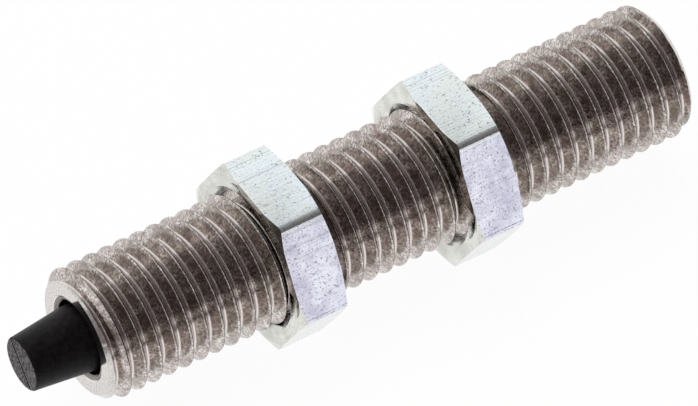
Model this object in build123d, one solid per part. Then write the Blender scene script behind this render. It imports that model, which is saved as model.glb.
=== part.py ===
from build123d import *

import os
from math import cos, radians, tan

# A miniature industrial shock absorber with a fully threaded body and two hexagon lock nuts.
#
# Sizes are in millimetres. X runs along the axis, with X = 0 on the body's front stop face. The rod and
# its cap stand out towards -X and the closed end of the body is at +X. Z is up, and the absorber lies on
# the lower flats of its two nuts.

# Diameters, built outwards from the rod to the outside of the M8 x 1 thread
rod_diameter = 2.0
piston_height = 0.7
tube_wall = 0.5
oil_gap = 0.3
body_wall = 1.5
tube_bore_diameter = rod_diameter + 2 * piston_height
tube_diameter = tube_bore_diameter + 2 * tube_wall
bore_diameter = tube_diameter + 2 * oil_gap
thread_diameter = bore_diameter + 2 * body_wall

# Threaded body, which is turned to the outside diameter of its thread
body_length = 38.0
front_chamfer = 0.65
rear_chamfer = 0.4
mouth_chamfer = 0.1
rear_wall = 8.0

# Fill port in the closed end
fill_port_diameter = 0.8
fill_seal_thickness = 0.5
fill_screw_diameter = 2.0
fill_screw_length = 1.2
fill_screw_recess = 0.2
fill_hole_chamfer = 0.15
hex_key_size = 0.9
hex_key_depth = 0.7

# Hexagon lock nuts
nut_wall = 1.0
nut_thickness = 3.0
nut_corner_radius = 0.4
nut_front_crest = 0.22
nut_rear_crest = 0.06
nut_chamfer_angle = 20.0
nut_countersink = 0.3
nut_clearance = 0.03
front_nut_position = 11.1
plate_space = 8.55

# Impact cap on the end of the rod
stroke = 3.5
cap_side_gap = 0.2
cap_taper = 0.45
cap_skirt_length = 0.7
cap_tip_thickness = 1.2
cap_edge_chamfer = 0.08
cap_slot_width = 0.12
cap_slot_depth = 0.15
cap_slot_offset = -0.13
cap_slot_angle = 48.0

# Ends of the piston rod
rod_end_chamfer = 0.2
rod_end_gap = 0.1
tenon_shoulder = 0.3
tenon_overhang = 0.3

# Clearances on the radius
sliding_clearance = 0.02
piston_clearance = 0.03
insert_clearance = 0.02
seal_clearance = 0.01

# Stop collar, a cup that the cap sinks into
collar_recess = 0.1
collar_wall = 0.25
collar_floor_thickness = 0.4
collar_hole_gap = 0.3
collar_edge_chamfer = 0.12
cap_end_clearance = 0.1

# Rod bearing with the gland for wiper and seal
gland_depth = 0.75
gland_play = 0.05
wiper_width = 0.8
wiper_lip_height = 0.3
support_ring_width = 0.3
seal_width = 1.4
seal_groove_depth = 0.7
bearing_land = 0.3
bearing_neck_wall = 0.5
bearing_shoulder_width = 0.6
bearing_spigot_length = 0.8

# Rings held in grooves of the bearing
o_ring_section = 0.56
o_ring_groove_width = 0.7
wire_diameter = 0.38
wire_groove_width = 0.42
wire_groove_position = 0.7
wire_ring_gap = 0.8

# Accumulator foam round the neck of the bearing
foam_length = 3.4
foam_end_gap = 0.05
foam_inner_clearance = 0.03
foam_outer_clearance = 0.05

# Pressure tube with metering holes that grow closer together along the stroke
metering_hole_diameter = 0.35
metering_hole_count = 4
metering_hole_turn = 90.0
first_metering_hole = 0.7
metering_spacing_ratio = 0.72
first_metering_spacing = 0.9
return_port_diameter = 0.6
return_port_count = 2
return_port_position = 0.6

# Piston with its floating check ring
piston_rest_gap = 0.1
piston_land_length = 1.4
piston_hub_wall = 0.35
check_ring_length = 1.1
check_ring_gap = 0.15
check_ring_lift = 0.2
check_ring_split = 0.15
washer_thickness = 0.3
washer_gap = 0.15
washer_notch_width = 0.5
washer_notch_depth = 0.3
washer_notch_count = 4
clip_thickness = 0.3
clip_overhang = 0.38
clip_groove_depth = 0.15
clip_mouth_width = 0.9

# Return spring and the plug that closes the pressure tube
spring_wire = 0.32
spring_wire_sides = 4
spring_gap = 0.21
spring_turns = 6
plug_flange_thickness = 0.8
plug_spigot_length = 1.2
plug_stem_gap = 0.17
plug_stem_length = 1.0
plug_slot_width = 0.5
plug_slot_depth = 0.3

# Places along the axis, each worked out from the piece in front of it
cap_tip = -stroke
cap_rear = cap_skirt_length
collar_floor = cap_rear + stroke + cap_end_clearance
bearing_front = collar_floor + collar_floor_thickness
wiper_rear = bearing_front + wiper_width
support_rear = wiper_rear + support_ring_width
seal_rear = support_rear + seal_width
gland_rear = seal_rear + gland_play
o_ring_centre = gland_rear + bearing_land + o_ring_groove_width / 2
neck_front = o_ring_centre + o_ring_groove_width / 2 + bearing_land
neck_rear = neck_front + foam_length + 2 * foam_end_gap
tube_front = neck_rear + bearing_shoulder_width
spigot_rear = tube_front + bearing_spigot_length
wire_ring_centre = bearing_front + wire_groove_position
piston_front = spigot_rear + piston_rest_gap
piston_land_rear = piston_front + piston_land_length
washer_front = piston_land_rear + check_ring_length + check_ring_lift
washer_rear = washer_front + washer_thickness
clip_rear = washer_rear + clip_thickness
bore_floor = body_length - rear_wall
tube_rear = bore_floor - plug_flange_thickness
plug_front = tube_rear - plug_spigot_length
screw_rear = body_length - fill_screw_recess
screw_front = screw_rear - fill_screw_length
port_floor = screw_front - fill_seal_thickness

# Radii, each taken from the piece it runs in or sits on
thread_radius = thread_diameter / 2
nut_flat_radius = thread_radius + nut_wall
bore_radius = bore_diameter / 2
insert_radius = bore_radius - insert_clearance
pocket_radius = bore_radius - collar_wall
cap_skirt_radius = pocket_radius - cap_side_gap
cap_tip_radius = cap_skirt_radius - cap_taper
tube_radius = tube_diameter / 2
tube_bore_radius = tube_bore_diameter / 2
rod_radius = rod_diameter / 2
slide_radius = rod_radius + sliding_clearance
gland_radius = rod_radius + gland_depth
neck_radius = rod_radius + bearing_neck_wall
tenon_radius = rod_radius - tenon_shoulder
tenon_bore_radius = tenon_radius + seal_clearance
hub_radius = tenon_radius + piston_hub_wall
check_ring_bore_radius = hub_radius + check_ring_gap
washer_radius = tube_bore_radius - washer_gap
clip_radius = tenon_radius + clip_overhang
spring_radius = tube_bore_radius - spring_gap - spring_wire / 2
plug_stem_radius = spring_radius - spring_wire / 2 - plug_stem_gap
screw_radius = fill_screw_diameter / 2
o_ring_floor = bore_radius - o_ring_section - 2 * seal_clearance
wire_groove_half = wire_diameter / 2 + seal_clearance


def turned(*profile):
    """A solid of revolution about X from the corners (x, radius) of its half section."""
    section = make_face(Polyline(*profile, close=True))
    return revolve(section, axis=Axis.X)


def sleeve(front, rear, inner_radius, outer_radius):
    """A plain ring about X."""
    return turned((front, inner_radius), (rear, inner_radius), (rear, outer_radius), (front, outer_radius))


def rod(front, rear, radius):
    """A plain round bar about X."""
    return turned((front, 0), (rear, 0), (rear, radius), (front, radius))


def wire_section(diameter, sides=6):
    """The section of a wire or cord, round in life and drawn with a few sides."""
    return RegularPolygon(diameter / 2, sides, rotation=90)


def ring_of_wire(centre, mean_radius, diameter):
    """A ring of wire or cord about X."""
    section = Plane.XY * Pos(centre, mean_radius) * wire_section(diameter)
    return revolve(section, axis=Axis.X)


def drilled(x, angle, diameter, reach):
    """A radial drill that starts on the axis at x and points outwards at an angle about X."""
    drill = Cylinder(diameter / 2, reach, align=(Align.CENTER, Align.CENTER, Align.MIN))
    return Pos(x, 0, 0) * Rot(angle, 0, 0) * drill


def block(front, rear, y_size, z_size, y_centre=0.0, z_centre=0.0):
    """A cutting block between two places on the axis."""
    shape = Box(rear - front, y_size, z_size, align=(Align.MIN, Align.CENTER, Align.CENTER))
    return Pos(front, y_centre, z_centre) * shape


def make_body_tube():
    """One turned part: chamfered ends, a blind bore with a wire groove, and the fill port."""
    body = turned(
        (0, 0),
        (body_length, 0),
        (body_length, thread_radius - rear_chamfer),
        (body_length - rear_chamfer, thread_radius),
        (front_chamfer, thread_radius),
        (0, thread_radius - front_chamfer),
    )
    bore = turned(
        (-mouth_chamfer, 0),
        (bore_floor, 0),
        (bore_floor, bore_radius),
        (mouth_chamfer, bore_radius),
        (-mouth_chamfer, bore_radius + 2 * mouth_chamfer),
    )
    groove = sleeve(
        wire_ring_centre - wire_groove_width / 2,
        wire_ring_centre + wire_groove_width / 2,
        rod_radius,
        bore_radius + wire_groove_half,
    )
    port = rod(bore_floor - mouth_chamfer, port_floor, fill_port_diameter / 2)
    screw_hole = turned(
        (port_floor, 0),
        (body_length + fill_hole_chamfer, 0),
        (body_length + fill_hole_chamfer, screw_radius + 2 * fill_hole_chamfer),
        (body_length - fill_hole_chamfer, screw_radius),
        (port_floor, screw_radius),
    )
    return body - bore - groove - port - screw_hole


def make_lock_nut(front):
    """A hexagon nut: flats up and down, rounded corners, both faces chamfered by a cone."""
    rear = front + nut_thickness
    hexagon = Plane.YZ.offset(front) * RegularPolygon(nut_flat_radius, 6, major_radius=False)
    blank = extrude(hexagon, nut_thickness)
    blank = fillet(blank.edges().filter_by(Axis.X), nut_corner_radius)
    slope = tan(radians(nut_chamfer_angle))
    front_radius = nut_flat_radius + nut_front_crest
    rear_radius = nut_flat_radius + nut_rear_crest
    reach = nut_flat_radius / cos(radians(180 / 6))
    envelope = turned(
        (front, 0),
        (rear, 0),
        (rear, rear_radius),
        (rear - (reach - rear_radius) * slope, reach),
        (front + (reach - front_radius) * slope, reach),
        (front, front_radius),
    )
    bore = thread_radius + nut_clearance
    hole = turned(
        (front, 0),
        (rear, 0),
        (rear, bore + nut_countersink),
        (rear - nut_countersink, bore),
        (front + nut_countersink, bore),
        (front, bore + nut_countersink),
    )
    return (blank & envelope) - hole


def make_rod_cap():
    """A moulded cap: tapered outside, blind hole for the rod, and a fine slot across its face."""
    cap = turned(
        (cap_tip, 0),
        (cap_rear, 0),
        (cap_rear, cap_skirt_radius),
        (cap_tip + cap_edge_chamfer, cap_tip_radius),
        (cap_tip, cap_tip_radius - cap_edge_chamfer),
    )
    cap -= rod(cap_tip + cap_tip_thickness, cap_rear, rod_radius)
    slot_floor = cap_tip + cap_slot_depth
    slot = block(cap_tip, slot_floor, 2 * cap_skirt_radius, cap_slot_width, 0, cap_slot_offset)
    return cap - Rot(cap_slot_angle, 0, 0) * slot


def make_piston_rod():
    """A ground rod with a tenon that carries the piston and a groove for the clip."""
    front = cap_tip + cap_tip_thickness + rod_end_gap
    rear = clip_rear + tenon_overhang
    body = turned(
        (front, 0),
        (rear, 0),
        (rear, tenon_radius),
        (piston_front, tenon_radius),
        (piston_front, rod_radius),
        (front + rod_end_chamfer, rod_radius),
        (front, rod_radius - rod_end_chamfer),
    )
    groove = sleeve(washer_rear, clip_rear, tenon_radius - clip_groove_depth, rod_radius)
    return body - groove


def make_stop_collar():
    """A turned cup: the cap sinks into it, and its floor holds the wiper and the bearing back."""
    hole = rod_radius + collar_hole_gap
    return turned(
        (collar_recess, pocket_radius + collar_edge_chamfer),
        (collar_recess + collar_edge_chamfer, pocket_radius),
        (collar_floor, pocket_radius),
        (collar_floor, hole),
        (bearing_front, hole),
        (bearing_front, insert_radius),
        (collar_recess, insert_radius),
    )


def make_rod_bearing():
    """The guide of the rod: a gland in front, two ring grooves, a neck, a shoulder and a spigot."""
    bearing = turned(
        (bearing_front, gland_radius),
        (gland_rear, gland_radius),
        (gland_rear, slide_radius),
        (spigot_rear, slide_radius),
        (spigot_rear, tube_bore_radius - insert_clearance),
        (tube_front, tube_bore_radius - insert_clearance),
        (tube_front, tube_radius),
        (neck_rear, tube_radius),
        (neck_rear, neck_radius),
        (neck_front, neck_radius),
        (neck_front, insert_radius),
        (bearing_front, insert_radius),
    )
    half_o_ring = o_ring_groove_width / 2
    half_wire = wire_groove_width / 2
    o_ring_groove = sleeve(
        o_ring_centre - half_o_ring,
        o_ring_centre + half_o_ring,
        o_ring_floor,
        bore_radius,
    )
    wire_groove = sleeve(
        wire_ring_centre - half_wire,
        wire_ring_centre + half_wire,
        bore_radius - wire_groove_half,
        bore_radius,
    )
    return bearing - o_ring_groove - wire_groove


def make_wiper_ring():
    """A rubber ring whose front lip leans on the rod."""
    inner = slide_radius
    outer = gland_radius - seal_clearance
    return turned(
        (bearing_front, inner),
        (wiper_rear, inner),
        (wiper_rear, outer),
        (bearing_front + wiper_lip_height, outer),
        (bearing_front + wiper_lip_height, inner + wiper_lip_height),
        (bearing_front, inner + seal_clearance),
    )


def make_seal_support_ring():
    """A hard flat ring between the wiper and the seal."""
    return sleeve(wiper_rear, support_rear, slide_radius, gland_radius - seal_clearance)


def make_rod_seal():
    """A seal with two lips, which a deep groove parts on the oil side."""
    outer = gland_radius - seal_clearance
    middle = (slide_radius + outer) / 2
    return turned(
        (support_rear, slide_radius),
        (seal_rear, slide_radius),
        (seal_rear - seal_groove_depth, middle),
        (seal_rear, outer),
        (support_rear, outer),
    )


def make_bearing_o_ring():
    """The static seal between the bearing and the body."""
    mean_radius = o_ring_floor + seal_clearance + o_ring_section / 2
    return ring_of_wire(o_ring_centre, mean_radius, o_ring_section)


def make_retaining_ring():
    """A split ring of wire, half in the body's groove and half in the bearing's."""
    ring = ring_of_wire(wire_ring_centre, bore_radius, wire_diameter)
    front = wire_ring_centre - wire_diameter
    rear = wire_ring_centre + wire_diameter
    return ring - block(front, rear, wire_ring_gap, bore_diameter, 0, bore_radius)


def make_accumulator_foam():
    """A foam sleeve that gives way to the volume of the rod."""
    return sleeve(
        neck_front + foam_end_gap,
        neck_rear - foam_end_gap,
        neck_radius + foam_inner_clearance,
        bore_radius - foam_outer_clearance,
    )


def make_pressure_tube():
    """The inner tube, with return ports in front and metering holes along the stroke."""
    tube = sleeve(tube_front, tube_rear, tube_bore_radius, tube_radius)
    port_place = piston_front + return_port_position
    for number in range(return_port_count):
        angle = 360 / return_port_count * number
        tube -= drilled(port_place, angle, return_port_diameter, tube_diameter)
    hole_place = washer_front + first_metering_hole
    spacing = first_metering_spacing
    for number in range(metering_hole_count):
        angle = metering_hole_turn * number
        tube -= drilled(hole_place, angle, metering_hole_diameter, tube_diameter)
        hole_place += spacing
        spacing *= metering_spacing_ratio
    return tube


def make_piston():
    """The piston land, with a hub behind it that carries the check ring."""
    return turned(
        (piston_front, tenon_bore_radius),
        (washer_front, tenon_bore_radius),
        (washer_front, hub_radius),
        (piston_land_rear, hub_radius),
        (piston_land_rear, tube_bore_radius - piston_clearance),
        (piston_front, tube_bore_radius - piston_clearance),
    )


def make_piston_check_ring():
    """A split ring that floats on the hub and closes against the land on the working stroke."""
    front = washer_front - check_ring_length
    outer = tube_bore_radius - sliding_clearance
    ring = sleeve(front, washer_front, check_ring_bore_radius, outer)
    split = block(front, washer_front, check_ring_split, tube_bore_diameter, 0, tube_bore_radius)
    return ring - split


def make_piston_washer():
    """The notched washer that holds the check ring and lets the oil through."""
    washer = sleeve(washer_front, washer_rear, tenon_bore_radius, washer_radius)
    middle = 2 * washer_radius - washer_notch_depth
    for number in range(washer_notch_count):
        notch = block(
            washer_front,
            washer_rear,
            washer_notch_width,
            2 * washer_radius,
            0,
            middle,
        )
        washer -= Rot(360 / washer_notch_count * (number + 0.5), 0, 0) * notch
    return washer


def make_piston_clip():
    """An open clip in the groove of the tenon."""
    inner = tenon_radius - clip_groove_depth + seal_clearance
    clip = sleeve(washer_rear, clip_rear, inner, clip_radius)
    return clip - block(washer_rear, clip_rear, clip_mouth_width, 2 * clip_radius, 0, clip_radius)


def make_return_spring():
    """A coil spring with ground ends, between the washer and the plug."""
    length = plug_front - washer_rear
    pitch = length / (spring_turns - 1)
    coil = Helix(pitch, pitch * spring_turns, spring_radius)
    start = Plane(origin=coil @ 0, z_dir=coil % 0)
    section = start * wire_section(spring_wire, spring_wire_sides)
    wire = sweep(section, path=coil, is_frenet=True)
    upright = Pos(washer_rear - pitch / 2, 0, 0) * Rot(0, 90, 0) * wire
    return upright & rod(washer_rear, plug_front, tube_bore_radius)


def make_tube_end_plug():
    """The plug between the pressure tube and the floor of the bore, with a stem inside the spring."""
    plug = turned(
        (plug_front - plug_stem_length, 0),
        (bore_floor, 0),
        (bore_floor, tube_radius),
        (tube_rear, tube_radius),
        (tube_rear, tube_bore_radius - insert_clearance),
        (plug_front, tube_bore_radius - insert_clearance),
        (plug_front, plug_stem_radius),
        (plug_front - plug_stem_length, plug_stem_radius),
    )
    slot_front = bore_floor - plug_slot_depth
    plug -= block(slot_front, bore_floor, tube_diameter, plug_slot_width)
    return plug - block(slot_front, bore_floor, plug_slot_width, tube_diameter)


def make_fill_screw():
    """A headless screw with a hexagon socket."""
    screw = rod(screw_front, screw_rear, screw_radius - insert_clearance)
    floor = Plane.YZ.offset(screw_rear - hex_key_depth)
    socket = floor * RegularPolygon(hex_key_size / 2, 6, major_radius=False)
    return screw - extrude(socket, hex_key_depth)


def make_fill_screw_seal():
    """The soft disc that the fill screw presses on the port."""
    return rod(port_floor, screw_front, screw_radius - insert_clearance)


rear_nut_position = front_nut_position + nut_thickness + plate_space

pieces = {
    "body_tube": make_body_tube(),
    "lock_nut_front": make_lock_nut(front_nut_position),
    "lock_nut_rear": make_lock_nut(rear_nut_position),
    "rod_cap": make_rod_cap(),
    "piston_rod": make_piston_rod(),
    "stop_collar": make_stop_collar(),
    "rod_bearing": make_rod_bearing(),
    "wiper_ring": make_wiper_ring(),
    "seal_support_ring": make_seal_support_ring(),
    "rod_seal": make_rod_seal(),
    "bearing_o_ring": make_bearing_o_ring(),
    "retaining_ring": make_retaining_ring(),
    "accumulator_foam": make_accumulator_foam(),
    "pressure_tube": make_pressure_tube(),
    "piston": make_piston(),
    "piston_check_ring": make_piston_check_ring(),
    "piston_washer": make_piston_washer(),
    "piston_clip": make_piston_clip(),
    "return_spring": make_return_spring(),
    "tube_end_plug": make_tube_end_plug(),
    "fill_screw": make_fill_screw(),
    "fill_screw_seal": make_fill_screw_seal(),
}

os.makedirs("parts", exist_ok=True)
for name, piece in pieces.items():
    export_step(piece, f"parts/{name}.step")
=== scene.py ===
from math import cos, hypot, pi, radians, sin, tau

import bmesh
import bpy
from mathutils import Matrix, Quaternion, Vector


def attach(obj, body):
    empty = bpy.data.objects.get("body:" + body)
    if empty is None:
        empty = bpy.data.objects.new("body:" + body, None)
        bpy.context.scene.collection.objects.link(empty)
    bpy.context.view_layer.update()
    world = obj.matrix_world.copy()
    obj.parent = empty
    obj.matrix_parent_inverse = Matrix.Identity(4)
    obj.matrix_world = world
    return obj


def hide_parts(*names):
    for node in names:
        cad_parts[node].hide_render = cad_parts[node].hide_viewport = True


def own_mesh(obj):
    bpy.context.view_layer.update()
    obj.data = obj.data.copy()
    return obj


# A miniature industrial shock absorber: a threaded steel body with two hexagon lock nuts, and a
# rod under a black plastic cap. Sizes are in millimetres times mm, in the part's own frame: X runs
# along the axis from the stop face to the closed end, Z up, and the nuts lie on their lower flats.
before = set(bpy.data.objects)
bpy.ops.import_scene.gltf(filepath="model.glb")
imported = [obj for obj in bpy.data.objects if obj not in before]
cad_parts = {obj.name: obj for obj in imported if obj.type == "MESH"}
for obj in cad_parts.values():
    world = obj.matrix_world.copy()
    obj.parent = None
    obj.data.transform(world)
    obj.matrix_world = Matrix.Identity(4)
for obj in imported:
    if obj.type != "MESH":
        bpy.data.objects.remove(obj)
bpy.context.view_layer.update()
scene = bpy.context.scene
mm = 0.001

# The camera stands to the front left and well above, with a long lens, as the photograph was
# taken. Its place comes from the thread's crests, the nuts and the ends of the body.
view_azimuth = radians(-33.5284)
view_elevation = radians(48.1689)
view_roll = radians(1.178)
view_distance = 609.22 * mm
view_target = Vector((17.623, 0, 0.6885)) * mm
away = Vector(
    (
        sin(view_azimuth) * cos(view_elevation),
        -cos(view_azimuth) * cos(view_elevation),
        sin(view_elevation),
    )
)
lens = bpy.data.cameras.new("camera")
lens.sensor_width = 36
lens.lens = 571.3
camera = bpy.data.objects.new("camera", lens)
camera.location = view_target + view_distance * away
roll = Quaternion((0, 0, 1), view_roll)
camera.rotation_euler = (away.to_track_quat("Z", "Y") @ roll).to_euler()
scene.collection.objects.link(camera)
scene.camera = camera
scene.view_settings.view_transform = "Standard"


# The studio: a soft sky over a white table, with one lamp. The sky is bright low down beyond the
# absorber, and dark overhead and on the near side. White cards and dark cloths hang in it, and the
# polished metal mirrors the steps between them.
def add(tree, kind, inputs=None, **settings):
    """A new node, with its settings, and its inputs set or linked."""
    new = tree.nodes.new(kind)
    for key, value in settings.items():
        setattr(new, key, value)
    for key, value in (inputs or {}).items():
        if isinstance(value, bpy.types.NodeSocket):
            tree.links.new(value, new.inputs[key])
        else:
            new.inputs[key].default_value = value
    return new


def math_node(tree, operation, *values):
    """The output of one Math node."""
    return add(tree, "ShaderNodeMath", dict(enumerate(values)), operation=operation).outputs[0]


def ramp(tree, factor, *stops):
    """A colour ramp through (position, colour) stops, where a colour may be one grey value."""
    new = add(tree, "ShaderNodeValToRGB", {"Fac": factor})
    elements = new.color_ramp.elements
    while len(elements) < len(stops):
        elements.new(1.0)
    for element, (position, colour) in zip(elements, stops):
        element.position = position
        tint = colour if isinstance(colour, tuple) else (colour, colour, colour)
        element.color = (*tint, 1)
    return new.outputs["Color"]


def blend_colour(tree, factor, low, high):
    """A colour between two others."""
    new = add(tree, "ShaderNodeMix", {"Factor": factor}, data_type="RGBA")
    for index, value in ((6, low), (7, high)):
        if isinstance(value, bpy.types.NodeSocket):
            tree.links.new(value, new.inputs[index])
        else:
            new.inputs[index].default_value = (*value, 1)
    return new.outputs[2]


def seen_directly(tree):
    """One for a ray from the camera, a mirror or glass, and nothing for the rest."""
    path = add(tree, "ShaderNodeLightPath").outputs
    camera_or_mirror = math_node(tree, "MAXIMUM", path["Is Camera Ray"], path["Is Glossy Ray"])
    return math_node(tree, "MAXIMUM", camera_or_mirror, path["Is Transmission Ray"])


world = bpy.data.worlds.new("studio")
world.use_nodes = True
scene.world = world
sky = world.node_tree
sky.nodes.clear()
direction = add(sky, "ShaderNodeTexCoord").outputs["Generated"]
towards = add(sky, "ShaderNodeSeparateXYZ", {0: direction}).outputs
# From 0 at the horizon beyond the absorber, over the top, to 1 at the horizon on the near side.
height = math_node(sky, "ABSOLUTE", towards["Z"])
over = math_node(sky, "DIVIDE", math_node(sky, "ARCTAN2", height, towards["Y"]), pi)
open_sky = ramp(
    sky,
    over,
    (0.0, 1.0),
    (0.12, 0.78),
    (0.25, 0.78),
    (0.29, 0.97),
    (0.33, 0.36),
    (0.44, (0.27, 0.252, 0.252)),
    (0.60, (0.19, 0.173, 0.174)),
    (0.72, (0.135, 0.118, 0.12)),
    (1.0, (0.125, 0.108, 0.112)),
)
card_height = ramp(sky, over, (0.934, 0.0), (0.945, 1.0))
card_width = ramp(sky, towards["X"], (0.24, 0.0), (0.27, 1.0), (0.44, 1.0), (0.48, 0.0))
near_card = math_node(sky, "MULTIPLY", card_height, card_width)
near_strip = ramp(sky, over, (0.985, 0.0), (0.995, 1.0))
near_white = math_node(sky, "MAXIMUM", near_card, near_strip)
rear_cloth = ramp(sky, towards["X"], (0.62, 0.0), (0.82, 1.0))
frontwards = math_node(sky, "MULTIPLY", towards["X"], -1.0)
front_card = ramp(sky, frontwards, (0.42, 0.0), (0.56, 1.0), (0.82, 1.0), (0.90, 0.12))
cloth_width = ramp(sky, frontwards, (0.02, 0.0), (0.10, 1.0), (0.40, 1.0), (0.44, 0.0))
cloth_height = ramp(sky, over, (0.42, 0.0), (0.50, 1.0), (0.90, 1.0), (0.94, 0.0))
top_cloth = math_node(sky, "MULTIPLY", cloth_width, cloth_height)
cards_and_cloths = (
    (near_white, (0.96, 0.95, 0.94)),
    (rear_cloth, (0.08, 0.08, 0.08)),
    (front_card, (0.78, 0.78, 0.78)),
    (top_cloth, (0.02, 0.02, 0.02)),
)
sky_colour = open_sky
for cover, colour in cards_and_cloths:
    sky_colour = blend_colour(sky, cover, sky_colour, colour)
sky_strength = 1.12
light = add(sky, "ShaderNodeBackground", {"Color": sky_colour, "Strength": sky_strength})
white = add(sky, "ShaderNodeBackground", {"Color": (1, 1, 1, 1), "Strength": 1.0})
from_camera = add(sky, "ShaderNodeLightPath").outputs["Is Camera Ray"]
background = add(
    sky,
    "ShaderNodeMixShader",
    {0: from_camera, 1: light.outputs[0], 2: white.outputs[0]},
)
add(sky, "ShaderNodeOutputWorld", {"Surface": background.outputs[0]})

# The table: white paper, which ends close to the absorber on the near side and at its front,
# because the polished flanks of the thread mirror its edge.
table_height = -5.0 * mm
table_half = 1.5
near_edge = -22 * mm
front_edge = -14 * mm
table_middle = (table_half + front_edge, table_half + near_edge, table_height)
bm = bmesh.new()
bmesh.ops.create_grid(bm, x_segments=1, y_segments=1, size=table_half)
bmesh.ops.translate(bm, verts=bm.verts, vec=table_middle)
table_mesh = bpy.data.meshes.new("table")
bm.to_mesh(table_mesh)
bm.free()
table = bpy.data.objects.new("table", table_mesh)
scene.collection.objects.link(table)
paper = bpy.data.materials.new("white_table")
paper.use_nodes = True
tree = paper.node_tree
tree.nodes.clear()
matt_white = (0.9, 0.9, 0.9, 1)
plain_white = 0.96
matt = add(tree, "ShaderNodeBsdfDiffuse", {"Color": matt_white})
glow = add(tree, "ShaderNodeEmission", {"Color": (1, 1, 1, 1), "Strength": 1.0})
glow_share = math_node(tree, "MULTIPLY", seen_directly(tree), plain_white)
mixed = add(
    tree,
    "ShaderNodeMixShader",
    {0: glow_share, 1: matt.outputs[0], 2: glow.outputs[0]},
)
add(tree, "ShaderNodeOutputMaterial", {"Surface": mixed.outputs[0]})
table.data.materials.append(paper)

# The lamp: one soft box above and behind the absorber. The metal mirrors the sky, not the lamp.
key_light = bpy.data.lights.new("soft_box", "AREA")
key_light.shape = "DISK"
key_light.size = 0.5
key_light.energy = 2.8
key = bpy.data.objects.new("soft_box", key_light)
key.visible_glossy = False
key.location = (0.1, 0.25, 0.6)
key.rotation_euler = Vector(key.location).to_track_quat("Z", "Y").to_euler()
scene.collection.objects.link(key)


# The threaded body: one bar of steel with a rolled M8 x 1 thread from end to end, chamfered at
# both ends. It has a blind bore from the front, with a groove for the wire ring, and a small screw
# hole in the closed end. The crests are numbered from the stop face, and the outer ones are cut.
thread_pitch = 1.0 * mm
thread_radius = 3.95 * mm
thread_angle = 60
crest_half = 0.036 * mm
crest_rounding = 0.02 * mm
crest_phase = 0.56 * mm
root_half = 0.10 * mm
root_depth = 0.6305 * mm
root_round = 0.1155 * mm
flank_points = (0.0, 0.12, 0.86)
flank_cuts = 4
steps_per_turn = 112
first_crest = -3
last_crest = 39
body_length = 38.0 * mm
front_face_radius = 3.35 * mm
rear_face_radius = 3.5 * mm
chamfered_length = 1.2 * thread_pitch
mouth_chamfer = 0.1 * mm
mouth_radius = 2.6 * mm
bore_radius = 2.5 * mm
bore_floor = 30.0 * mm
groove_front = 5.19 * mm
groove_rear = 5.61 * mm
groove_radius = 2.7 * mm
port_radius = 0.4 * mm
screw_hole_floor = 36.1 * mm
screw_hole_radius = 1.0 * mm
screw_hole_chamfer = 37.85 * mm
screw_hole_mouth = 1.15 * mm
merge_distance = 0.0005 * mm


def thread_profile(clearance=0.0, minor_radius=0.0):
    """One pitch of the thread as (x, radius) points, from root to root with the crest at 0."""
    foot = (-thread_pitch / 2 + root_half, thread_radius - root_depth)
    top = (-crest_half, thread_radius)
    flank = radians(thread_angle)
    root_centre = foot[1] + root_round * sin(radians(thread_angle / 2))
    half = []
    for angle in (radians(90), flank):
        x = -thread_pitch / 2 + root_round * cos(angle)
        half.append((x, root_centre - root_round * sin(angle)))
    for share in flank_points:
        half.append(tuple(a + (b - a) * share for a, b in zip(foot, top)))
    half.append((top[0] - crest_rounding / 2, top[1] - crest_rounding * sin(flank)))
    half.append((top[0] + crest_rounding, top[1]))
    whole = half + [(-x, radius) for x, radius in reversed(half)]
    return [(x, max(radius + clearance, minor_radius)) for x, radius in whole]


def spin_about_axis(bm, section, angle, steps, slide=0.0, merge=False):
    """Sweeps a section round the absorber's axis, and along it by slide in each step."""
    bmesh.ops.spin(
        bm,
        geom=section,
        cent=(0, 0, 0),
        axis=(1, 0, 0),
        dvec=(slide, 0, 0),
        angle=angle,
        steps=steps,
        use_merge=merge,
        use_duplicate=False,
    )


def only(kind, geom):
    """The vertices or the edges in a list that holds both."""
    return [item for item in geom if isinstance(item, kind)]


def wind_thread(profile, first, last):
    """An open thread surface about X, from the crest numbered first to the one numbered last."""
    bm = bmesh.new()
    start = crest_phase + first * thread_pitch
    verts = [bm.verts.new((start + x, radius, 0)) for x, radius in profile]
    edges = [bm.edges.new(pair) for pair in zip(verts, verts[1:])]
    slide = thread_pitch / steps_per_turn
    spin_about_axis(bm, verts + edges, angle=tau, steps=steps_per_turn, slide=slide)
    turn = bm.verts[:] + bm.edges[:] + bm.faces[:]
    for number in range(1, last - first + 1):
        copy = bmesh.ops.duplicate(bm, geom=turn)["geom"]
        moved = only(bmesh.types.BMVert, copy)
        bmesh.ops.translate(bm, verts=moved, vec=(number * thread_pitch, 0, 0))
    bmesh.ops.remove_doubles(bm, verts=bm.verts, dist=merge_distance)
    return bm


def radius_of(vert):
    """How far a vertex is from the axis."""
    return hypot(vert.co.y, vert.co.z)


def set_radius(vert, radius):
    """Moves a vertex straight towards or away from the axis."""
    scale = radius / radius_of(vert)
    vert.co.y *= scale
    vert.co.z *= scale


def refine(bm, low, high, cuts):
    """Divides the flanks between two places on X, so that a cone can cut them cleanly."""
    flanks = [
        edge
        for edge in bm.edges
        if all(low < vert.co.x < high for vert in edge.verts)
        and abs(radius_of(edge.verts[0]) - radius_of(edge.verts[1])) > crest_rounding
    ]
    bmesh.ops.subdivide_edges(bm, edges=flanks, cuts=cuts, use_grid_fill=True)


def cut_ends(bm, front, rear):
    """Cuts an open thread or a wound wire square at both ends."""
    for place, side in ((front, -1), (rear, 1)):
        bmesh.ops.bisect_plane(
            bm,
            geom=bm.verts[:] + bm.edges[:] + bm.faces[:],
            dist=merge_distance,
            plane_co=(place, 0, 0),
            plane_no=(side, 0, 0),
            clear_outer=True,
        )


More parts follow.
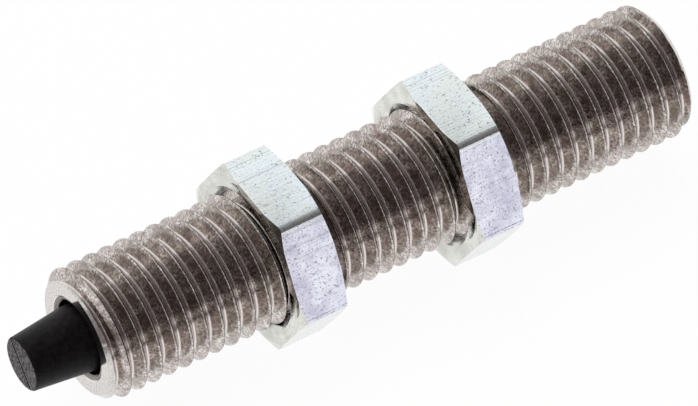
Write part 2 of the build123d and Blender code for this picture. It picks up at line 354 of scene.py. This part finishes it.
def open_ring(bm, x):
    """The open edges that lie in the plane at x."""
    near = 2 * merge_distance
    return [
        edge
        for edge in bm.edges
        if edge.is_boundary and all(abs(vert.co.x - x) < near for vert in edge.verts)
    ]


def carry_on(bm, ring, places):
    """Draws an open ring of edges on through rings of the given (x, radius)."""
    for x, radius in places:
        geom = bmesh.ops.extrude_edge_only(bm, edges=ring)["geom"]
        ring = only(bmesh.types.BMEdge, geom)
        for vert in only(bmesh.types.BMVert, geom):
            vert.co.x = x
            set_radius(vert, radius)
    return ring


def finished_piece(bm, name, body, sharp=35):
    """Turns a bmesh into a named object with smooth faces and crisp corners, riding on a body."""
    bmesh.ops.recalc_face_normals(bm, faces=bm.faces)
    mesh = bpy.data.meshes.new(name)
    bm.to_mesh(mesh)
    bm.free()
    mesh.shade_smooth()
    mesh.set_sharp_from_angle(angle=radians(sharp))
    piece = bpy.data.objects.new(name, mesh)
    scene.collection.objects.link(piece)
    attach(piece, body)
    return piece


bm = wind_thread(thread_profile(), first_crest, last_crest)
cut_ends(bm, 0, body_length)
refine(bm, -thread_pitch, chamfered_length, flank_cuts)
refine(bm, body_length - chamfered_length, body_length + thread_pitch, flank_cuts)
for vert in bm.verts:
    front_cone = front_face_radius + vert.co.x
    rear_cone = rear_face_radius + body_length - vert.co.x
    limit = min(front_cone, rear_cone)
    if radius_of(vert) > limit:
        set_radius(vert, limit)
front_ring = open_ring(bm, 0)
rear_ring = open_ring(bm, body_length)
bore = (
    (0.0, mouth_radius),
    (mouth_chamfer, bore_radius),
    (groove_front, bore_radius),
    (groove_front, groove_radius),
    (groove_rear, groove_radius),
    (groove_rear, bore_radius),
    (bore_floor, bore_radius),
    (bore_floor, port_radius),
    (screw_hole_floor, port_radius),
    (screw_hole_floor, screw_hole_radius),
    (screw_hole_chamfer, screw_hole_radius),
    (body_length, screw_hole_mouth),
)
bore_end = carry_on(bm, front_ring, bore)
bmesh.ops.bridge_loops(bm, edges=bore_end + rear_ring)
threaded_body = finished_piece(bm, "threaded_body", "body")
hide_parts("body_tube")


def noise(tree, place, scale, detail, roughness=0.5):
    """Soft random values over a piece."""
    inputs = {"Vector": place, "Scale": scale, "Detail": detail, "Roughness": roughness}
    return add(tree, "ShaderNodeTexNoise", inputs).outputs["Fac"]


def place_on_piece(tree):
    """Where a point lies on its piece, as one vector and as its X, Y and Z."""
    place = add(tree, "ShaderNodeTexCoord").outputs["Object"]
    return place, add(tree, "ShaderNodeSeparateXYZ", {0: place}).outputs


def distance_from_axis(tree, axes):
    """How far a point lies from the absorber's axis."""
    squares = [math_node(tree, "POWER", axes[name], 2.0) for name in ("Y", "Z")]
    return math_node(tree, "SQRT", math_node(tree, "ADD", *squares))


def group(name, inputs, outputs):
    """A new shader node group of plain numbers, with what it is given and what it puts out."""
    tree = bpy.data.node_groups.new(name, "ShaderNodeTree")
    for key, value in inputs.items():
        socket = tree.interface.new_socket(key, in_out="INPUT", socket_type="NodeSocketFloat")
        socket.default_value = value
    for key in outputs:
        tree.interface.new_socket(key, in_out="OUTPUT", socket_type="NodeSocketFloat")
    given = tree.nodes.new("NodeGroupInput").outputs
    result = tree.nodes.new("NodeGroupOutput").inputs
    return tree, given, result


# Turning marks: fine rings round X, in radius and along the axis, that wander a little.
turned_grain, given, result = group(
    "turned_grain",
    {"Scale": 9000.0, "Wander": 0.15},
    ("Grain",),
)
place, axes = place_on_piece(turned_grain)
from_axis = distance_from_axis(turned_grain, axes)
wander = noise(turned_grain, place, scale=600.0, detail=2.0)
shift = math_node(turned_grain, "MULTIPLY", wander, given["Wander"])
shift = math_node(turned_grain, "MULTIPLY", shift, mm)
wandering = add(
    turned_grain,
    "ShaderNodeCombineXYZ",
    {
        "X": math_node(turned_grain, "ADD", axes["X"], shift),
        "Y": math_node(turned_grain, "ADD", from_axis, shift),
        "Z": 0.0,
    },
)
rings = noise(turned_grain, wandering.outputs[0], scale=given["Scale"], detail=3.0, roughness=0.7)
turned_grain.links.new(rings, result["Grain"])

# Wear and dirt: soft patches, and small specks that lie in no direction.
patches, given, result = group(
    "patches_and_specks",
    {"Patch Scale": 500.0, "Speck Scale": 5000.0},
    ("Patches", "Specks"),
)
place = add(patches, "ShaderNodeTexCoord").outputs["Object"]
clouds = noise(patches, place, scale=given["Patch Scale"], detail=5.0, roughness=0.65)
spots = noise(patches, place, scale=given["Speck Scale"], detail=2.0)
patches.links.new(ramp(patches, clouds, (0.38, 0.0), (0.62, 1.0)), result["Patches"])
patches.links.new(ramp(patches, spots, (0.60, 0.0), (0.72, 1.0)), result["Specks"])


def use(tree, shared, **values):
    """Places a shared node group in a material with its own values, and gives its outputs."""
    new = tree.nodes.new("ShaderNodeGroup")
    new.node_tree = shared
    for key, value in values.items():
        new.inputs[key.replace("_", " ")].default_value = value
    return new.outputs


def between(tree, factor, low, high):
    """A number that goes from low to high with the factor."""
    new = add(tree, "ShaderNodeMapRange", {"Value": factor, "To Min": low, "To Max": high})
    return new.outputs["Result"]


def finish_of(name, **constants):
    """A new material with a Principled shader and its constant sockets."""
    new = bpy.data.materials.new(name)
    new.use_nodes = True
    shader = new.node_tree.nodes["Principled BSDF"]
    for key, value in constants.items():
        shader.inputs[key.replace("_", " ")].default_value = value
    return new, new.node_tree, shader


def connect(tree, shader, **sources):
    """Links sources to the shader's sockets."""
    for key, value in sources.items():
        tree.links.new(value, shader.inputs[key.replace("_", " ")])


def bumped(tree, height, distance, strength):
    """A normal from a height."""
    inputs = {"Height": height, "Distance": distance, "Strength": strength}
    return add(tree, "ShaderNodeBump", inputs).outputs["Normal"]


# The thread's own finish: bright rolled steel mottled with dirt, with a painted highlight in the
# roots and painted shade behind each crest. The chamfers and front face are turned bare.
rolled_steel, tree, shader = finish_of("rolled_steel", Metallic=1.0)
grain = use(tree, turned_grain, Scale=7000.0, Wander=0.3)["Grain"]
wear = use(tree, patches, Patch_Scale=1300.0, Speck_Scale=5200.0)
place, axes = place_on_piece(tree)
warmth = ramp(tree, noise(tree, place, scale=900.0, detail=3.0), (0.42, 0.0), (0.58, 1.0))
grit = noise(tree, place, scale=7000.0, detail=3.0)
mottle = ramp(tree, grit, (0.38, 0.0), (0.60, 1.0))
light_steel = blend_colour(tree, warmth, (0.87, 0.84, 0.775), (0.89, 0.82, 0.795))
dark_steel = blend_colour(tree, warmth, (0.40, 0.35, 0.30), (0.42, 0.335, 0.32))
mottled_steel = (0.34, 0.295, 0.28)
speck_brown = (0.20, 0.165, 0.16)
root_highlight_steel = (0.78, 0.715, 0.69)
crest_shade_black = (0.12, 0.11, 0.105)
tint = blend_colour(tree, wear["Patches"], light_steel, dark_steel)
tint = blend_colour(tree, mottle, mottled_steel, tint)
tint = blend_colour(tree, wear["Specks"], tint, speck_brown)

foot_radius = 3.2 * mm
thread_height = 0.8 * mm
crest_shade_height = 0.75
from_axis = distance_from_axis(tree, axes)
above_foot = math_node(tree, "SUBTRACT", from_axis, foot_radius)
height_on_thread = math_node(tree, "DIVIDE", above_foot, thread_height)
# A lighter band low in the roots is a painted highlight for the bright line the roots mirror.
root_highlight = ramp(tree, height_on_thread, (0.09, 1.0), (0.17, 0.0))
tint = blend_colour(tree, root_highlight, tint, root_highlight_steel)
# A dark band on the rear side of each crest is painted shade, for the dark line behind the crest.
turn = math_node(tree, "DIVIDE", math_node(tree, "ARCTAN2", axes["Z"], axes["Y"]), tau)
from_crest = math_node(tree, "SUBTRACT", axes["X"], crest_phase)
pitches = math_node(tree, "DIVIDE", from_crest, thread_pitch)
along_pitch = math_node(tree, "SUBTRACT", math_node(tree, "ADD", pitches, 0.5), turn)
along_pitch = math_node(tree, "FRACT", along_pitch)
crest_shade = ramp(tree, along_pitch, (0.490, 0.0), (0.502, 1.0), (0.585, 1.0), (0.6, 0.0))
on_crest = math_node(tree, "GREATER_THAN", height_on_thread, crest_shade_height)
tint = blend_colour(tree, math_node(tree, "MULTIPLY", crest_shade, on_crest), tint, crest_shade_black)

chamfer_skin = 0.02 * mm
front_face_skin = 0.01 * mm
front_cone = math_node(tree, "ADD", axes["X"], front_face_radius)
rear_cone = math_node(tree, "SUBTRACT", rear_face_radius + body_length, axes["X"])
cone = math_node(tree, "MINIMUM", front_cone, rear_cone)
past_cone = math_node(tree, "ADD", math_node(tree, "SUBTRACT", from_axis, cone), chamfer_skin)
on_chamfer = math_node(tree, "GREATER_THAN", past_cone, 0.0)
on_front = math_node(tree, "LESS_THAN", axes["X"], front_face_skin)
turned = math_node(tree, "MAXIMUM", on_chamfer, on_front)
bare_steel = blend_colour(tree, mottle, (0.58, 0.55, 0.525), (0.72, 0.695, 0.67))
tint = blend_colour(tree, turned, tint, bare_steel)
evenness = between(tree, turned, 1.0, 0.35)
dullness = math_node(tree, "MULTIPLY", between(tree, grit, 0.04, 0.30), evenness)
height = math_node(tree, "MULTIPLY", math_node(tree, "ADD", grain, grit), evenness)
connect(
    tree,
    shader,
    Base_Color=tint,
    Roughness=dullness,
    Normal=bumped(tree, height, distance=0.010 * mm, strength=0.8),
)
threaded_body.data.materials.append(rolled_steel)


# The two lock nuts: drawn hexagon bar, sawn and chamfered on both faces, tapped M8 x 1, and
# bright zinc plated. They clamp a mounting plate between them. Drawing lines run along the flats,
# and the faces show the arcs of the turning tool.
nut_thickness = 3.0 * mm
nut_half_width = 5.0 * mm
nut_clearance = 0.03 * mm
nut_minor_radius = 3.49 * mm
nut_flank_cuts = 3
crests_in_nut = 6
countersink_radius = 4.33 * mm
front_nut_place = 11.1 * mm
front_nut_crest = 9
rear_nut_place = 22.65 * mm
rear_nut_crest = 20
nut_corner_angle = 25
# How far a face's normal points along X when the face is square to it, and when it is no flat.
square_face = 0.99
flat_limit = 0.3

drawn_flats, tree, shader = finish_of("zinc_flats", Metallic=1.0)
place, axes = place_on_piece(tree)
drawn = add(tree, "ShaderNodeMapping", {"Vector": place, "Scale": (40.0, 7000.0, 7000.0)})
lines = noise(tree, drawn.outputs[0], scale=1.0, detail=3.0)
wear = use(tree, patches, Patch_Scale=700.0, Speck_Scale=7500.0)
grit = noise(tree, place, scale=8000.0, detail=2.0)
table_glow_fade = -1.0 * mm
top_flat_half = 3.0 * mm
table_glow_zinc = (0.80, 0.81, 0.81)
scratch_grey = (0.45, 0.46, 0.50)
speck_grey = (0.34, 0.33, 0.40)
pit_grey = (0.36, 0.35, 0.42)
line_grey = (0.32, 0.34, 0.35)
# Painted light: the top flat is lighter with fewer pits, and the lower sides are painted an even
# pale grey as a painted reflection of the white table.
up = math_node(tree, "DIVIDE", axes["Z"], nut_half_width)
top_light = ramp(tree, up, (0.90, 0.0), (0.98, 1.0))
table_glow = ramp(tree, math_node(tree, "DIVIDE", axes["Z"], table_glow_fade), (0.0, 0.0), (0.5, 1.0))
side_zinc = blend_colour(tree, wear["Patches"], (0.84, 0.86, 0.975), (0.60, 0.60, 0.745))
side_zinc = blend_colour(tree, table_glow, side_zinc, table_glow_zinc)
top_lit_zinc = blend_colour(tree, wear["Patches"], (0.85, 0.93, 0.98), (0.86, 0.91, 0.88))
tint = blend_colour(tree, top_light, side_zinc, top_lit_zinc)
scratches = ramp(tree, lines, (0.63, 0.0), (0.67, 0.5))
tint = blend_colour(tree, scratches, tint, scratch_grey)
tint = blend_colour(tree, wear["Specks"], tint, speck_grey)
pits = ramp(tree, grit, (0.32, 1.0), (0.41, 0.0))
fewer_in_top_light = math_node(tree, "SUBTRACT", 1.0, math_node(tree, "MULTIPLY", top_light, 0.75))
tint = blend_colour(tree, math_node(tree, "MULTIPLY", pits, fewer_in_top_light), tint, pit_grey)
drawing_lines = ramp(
    tree,
    math_node(tree, "DIVIDE", axes["Y"], top_flat_half),
    (0.69, 0.0),
    (0.70, 0.35),
    (0.71, 0.0),
    (0.767, 0.0),
    (0.775, 0.7),
    (0.79, 0.0),
)
tint = blend_colour(tree, drawing_lines, tint, line_grey)
connect(
    tree,
    shader,
    Base_Color=tint,
    Roughness=between(tree, lines, 0.08, 0.22),
    Normal=bumped(tree, math_node(tree, "ADD", lines, grit), distance=0.004 * mm, strength=0.6),
)

turned_faces, tree, shader = finish_of("zinc_faces", Metallic=1.0)
grain = use(tree, turned_grain, Scale=6000.0, Wander=0.05)["Grain"]
wear = use(tree, patches, Patch_Scale=600.0, Speck_Scale=7500.0)
place, axes = place_on_piece(tree)
arc_grey = (0.50, 0.50, 0.47)
dull_speck = (0.45, 0.44, 0.42)
recess_shade_brown = (0.10, 0.093, 0.09)
tint = blend_colour(tree, wear["Patches"], (0.80, 0.805, 0.755), (0.60, 0.61, 0.56))
arcs = ramp(tree, grain, (0.36, 0.6), (0.50, 1.0))
tint = blend_colour(tree, arcs, arc_grey, tint)
tint = blend_colour(tree, wear["Specks"], tint, dull_speck)
# Close to the thread the faces and countersink are painted dark brown: painted shade in the recess
# between the nut and the thread.
outwards = math_node(tree, "DIVIDE", distance_from_axis(tree, axes), nut_half_width)
recess_shade = ramp(tree, outwards, (0.812, 1.0), (0.832, 0.0))
tint = blend_colour(tree, recess_shade, tint, recess_shade_brown)
connect(
    tree,
    shader,
    Base_Color=tint,
    Roughness=between(tree, grain, 0.04, 0.16),
    Normal=bumped(tree, grain, distance=0.006 * mm, strength=0.8),
)


def make_nut(node, name, body, front, crest):
    """The hexagon of the CAD nut, with its plain bore cut out and a real thread put in."""
    rear = front + nut_thickness
    profile = thread_profile(nut_clearance, nut_minor_radius)
    thread = wind_thread(profile, crest, crest + crests_in_nut)
    cut_ends(thread, front, rear)
    refine(thread, front - mm, rear + mm, nut_flank_cuts)
    for vert in thread.verts:
        depth = min(vert.co.x - front, rear - vert.co.x)
        limit = countersink_radius - depth
        if radius_of(vert) < limit:
            set_radius(vert, limit)
    thread_mesh = bpy.data.meshes.new("nut_thread")
    thread.to_mesh(thread_mesh)
    thread.free()

    bm = bmesh.new()
    bm.from_mesh(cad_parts[node].data)
    bmesh.ops.remove_doubles(bm, verts=bm.verts, dist=merge_distance)
    within = countersink_radius + 10 * merge_distance
    bore_and_faces = [
        face
        for face in bm.faces
        if abs(face.normal.x) > square_face
        or all(radius_of(vert) < within for vert in face.verts)
    ]
    bmesh.ops.delete(bm, geom=bore_and_faces, context="FACES")
    bmesh.ops.dissolve_limit(
        bm,
        angle_limit=radians(1),
        use_dissolve_boundaries=False,
        verts=bm.verts,
        edges=bm.edges,
    )
    bm.from_mesh(thread_mesh)
    bpy.data.meshes.remove(thread_mesh)
    for x in (front, rear):
        bmesh.ops.bridge_loops(bm, edges=open_ring(bm, x))
    nut = finished_piece(bm, name, body, nut_corner_angle)
    for finish in (drawn_flats, turned_faces):
        nut.data.materials.append(finish)
    for polygon in nut.data.polygons:
        polygon.material_index = int(abs(polygon.normal.x) > flat_limit)
    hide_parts(node)


make_nut("lock_nut_front", "front_lock_nut", "front_nut", front_nut_place, front_nut_crest)
make_nut("lock_nut_rear", "rear_lock_nut", "rear_nut", rear_nut_place, rear_nut_crest)


# The impact cap: moulded in black plastic and pressed on the end of the rod. Blows have left its
# face rough and greyer than its side, and a fine slot runs across the face.
struck_face = -3.49 * mm
slot_floor = -3.34 * mm
slot_angle = radians(48)
slot_offset = -0.13 * mm
slot_half = 0.065 * mm
slot_shade_black = (0.0005, 0.0005, 0.0005)
side_black = (0.003, 0.0026, 0.0026)
side_worn = (0.010, 0.008, 0.008)
face_black = (0.004, 0.0035, 0.0035)
face_pitted = (0.16, 0.14, 0.143)

cap_plastic, tree, shader = finish_of("black_moulding", Specular_IOR_Level=0.14)
wear = use(tree, patches, Patch_Scale=2600.0, Speck_Scale=9000.0)
place, axes = place_on_piece(tree)
struck = math_node(tree, "LESS_THAN", axes["X"], struck_face)
pitted = ramp(tree, noise(tree, place, scale=6500.0, detail=3.0), (0.44, 0.0), (0.56, 1.0))
side_tint = blend_colour(tree, wear["Patches"], side_black, side_worn)
face_tint = blend_colour(tree, pitted, face_black, face_pitted)
tint = blend_colour(tree, struck, side_tint, face_tint)
# The fine slot is painted near black, darker than the plastic: painted shade in the slot.
rise = math_node(tree, "MULTIPLY", axes["Z"], cos(slot_angle))
run = math_node(tree, "MULTIPLY", axes["Y"], sin(slot_angle))
across_slot = math_node(tree, "SUBTRACT", rise, run)
from_slot = math_node(tree, "SUBTRACT", across_slot, slot_offset)
from_slot = math_node(tree, "ABSOLUTE", from_slot)
slot_width = math_node(tree, "LESS_THAN", from_slot, slot_half)
slot_depth = math_node(tree, "LESS_THAN", axes["X"], slot_floor)
in_slot = math_node(tree, "MULTIPLY", slot_width, slot_depth)
height = math_node(tree, "ADD", wear["Specks"], math_node(tree, "MULTIPLY", pitted, struck))
connect(
    tree,
    shader,
    Base_Color=blend_colour(tree, in_slot, tint, slot_shade_black),
    Roughness=between(tree, wear["Specks"], 0.42, 0.6),
    Normal=bumped(tree, height, distance=0.02 * mm, strength=0.8),
)


def dress(node, finish):
    """Gives a CAD node its finish."""
    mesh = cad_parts[node].data
    mesh.materials.clear()
    mesh.materials.append(finish)


dress("rod_cap", cap_plastic)


# The hard inner parts: the collar in the mouth, the rod with its piston, the bearing, the
# pressure tube with its plug, and the fill screw. They are turned, and the rod is ground as well.
turned_finishes = {
    # The collar's dark grey is painted shade, for the shade down in the mouth around the cap.
    "collar": (("stop_collar",), (0.26, 0.245, 0.22), 0.3),
    "ground_rod": (("piston_rod",), (0.75, 0.75, 0.76), 0.12),
    "bronze": (("rod_bearing", "piston_check_ring"), (0.72, 0.50, 0.28), 0.3),
    "turned_steel": (
        ("pressure_tube", "piston", "piston_washer", "tube_end_plug"),
        (0.58, 0.58, 0.60),
        0.3,
    ),
    "spring_wire": (("piston_clip",), (0.50, 0.50, 0.52), 0.25),
    "black_oxide": (("fill_screw",), (0.14, 0.14, 0.15), 0.35),
}
for name, (nodes, colour, roughness) in turned_finishes.items():
    finish, tree, shader = finish_of(name, Metallic=1.0)
    grain = use(tree, turned_grain, Scale=9000.0, Wander=0.1)["Grain"]
    wear = use(tree, patches, Patch_Scale=500.0, Speck_Scale=5000.0)
    darker = tuple(0.8 * value for value in colour)
    connect(
        tree,
        shader,
        Base_Color=blend_colour(tree, wear["Patches"], colour, darker),
        Roughness=between(tree, grain, roughness - 0.08, roughness + 0.12),
        Normal=bumped(tree, grain, distance=0.002 * mm, strength=0.5),
    )
    for node in nodes:
        dress(node, finish)


# The soft inner parts: the rubber wiper and rod seal, the foam that makes room for the rod's
# volume, and the plastic support ring and screw seal. All are moulded or cut, and pushed in.
soft_finishes = {
    "nitrile_rubber": (("wiper_ring", "rod_seal"), (0.02, 0.02, 0.022), 0.55),
    "foam": (("accumulator_foam",), (0.10, 0.10, 0.105), 0.9),
    "white_plastic": (("seal_support_ring", "fill_screw_seal"), (0.80, 0.79, 0.75), 0.4),
}
for name, (nodes, colour, roughness) in soft_finishes.items():
    finish, tree, shader = finish_of(name)
    wear = use(tree, patches, Patch_Scale=800.0, Speck_Scale=4000.0)
    lighter = tuple(1.3 * value for value in colour)
    connect(
        tree,
        shader,
        Base_Color=blend_colour(tree, wear["Patches"], colour, lighter),
        Roughness=between(tree, wear["Specks"], roughness, roughness + 0.1),
        Normal=bumped(tree, wear["Specks"], distance=0.01 * mm, strength=0.4),
    )
    for node in nodes:
        dress(node, finish)


# The return spring: round wire wound in six turns, with both ends ground flat, between the washer
# behind the piston and the plug.
spring_front = 16.55 * mm
spring_rear = 28.0 * mm
spring_radius = 1.33 * mm
spring_wire = 0.32 * mm
spring_turns = 6
spring_steps = 48


def wire_circle(bm, x, radius, wire, stretch=1.0, sides=20):
    """The outline of a round wire in the plane of X and Y, stretched along X where it slopes."""
    verts = bmesh.ops.create_circle(bm, segments=sides, radius=wire / 2)["verts"]
    bmesh.ops.scale(bm, verts=verts, vec=(stretch, 1, 1))
    bmesh.ops.translate(bm, verts=verts, vec=(x, radius, 0))
    return bm.verts[:] + bm.edges[:]


def close_ends(bm):
    """Fills the open ends of a wire."""
    bmesh.ops.holes_fill(bm, edges=[edge for edge in bm.edges if edge.is_boundary])


bm = bmesh.new()
spring_pitch = (spring_rear - spring_front) / (spring_turns - 1)
spring_slope = spring_pitch / (tau * spring_radius)
section = wire_circle(
    bm,
    spring_front - spring_pitch / 2,
    spring_radius,
    spring_wire,
    hypot(1, spring_slope),
)
spin_about_axis(
    bm,
    section,
    angle=tau * spring_turns,
    steps=spring_steps * spring_turns,
    slide=spring_pitch / spring_steps,
)
cut_ends(bm, spring_front, spring_rear)
close_ends(bm)
spring = finished_piece(bm, "wound_spring", "body")
spring.data.materials.append(bpy.data.materials["spring_wire"])
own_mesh(spring)
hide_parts("return_spring")


# The O-ring that seals the bearing in the bore: round nitrile rubber, moulded in one piece, which
# lies in the bearing's groove.
o_ring_place = 7.9 * mm
o_ring_radius = 2.21 * mm
o_ring_thickness = 0.56 * mm
bm = bmesh.new()
section = wire_circle(bm, o_ring_place, o_ring_radius, o_ring_thickness)
spin_about_axis(bm, section, angle=tau, steps=64, merge=True)
o_ring = finished_piece(bm, "round_o_ring", "body")
o_ring.data.materials.append(bpy.data.materials["nitrile_rubber"])
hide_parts("bearing_o_ring")


# The split ring that locks the bearing in the body: round spring wire, bent to a circle with its
# gap at the top, which springs out into the groove of the bore.
ring_place = 5.4 * mm
ring_radius = 2.5 * mm
ring_wire = 0.38 * mm
ring_gap = 0.8 * mm
half_gap = ring_gap / 2 / ring_radius
bm = bmesh.new()
section = wire_circle(bm, ring_place, ring_radius, ring_wire)
bmesh.ops.rotate(
    bm,
    cent=(0, 0, 0),
    matrix=Matrix.Rotation(pi / 2 + half_gap, 3, "X"),
    verts=bm.verts,
)
spin_about_axis(bm, section, angle=tau - 2 * half_gap, steps=60)
close_ends(bm)
wire_ring = finished_piece(bm, "split_wire_ring", "body")
wire_ring.data.materials.append(bpy.data.materials["spring_wire"])
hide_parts("retaining_ring")
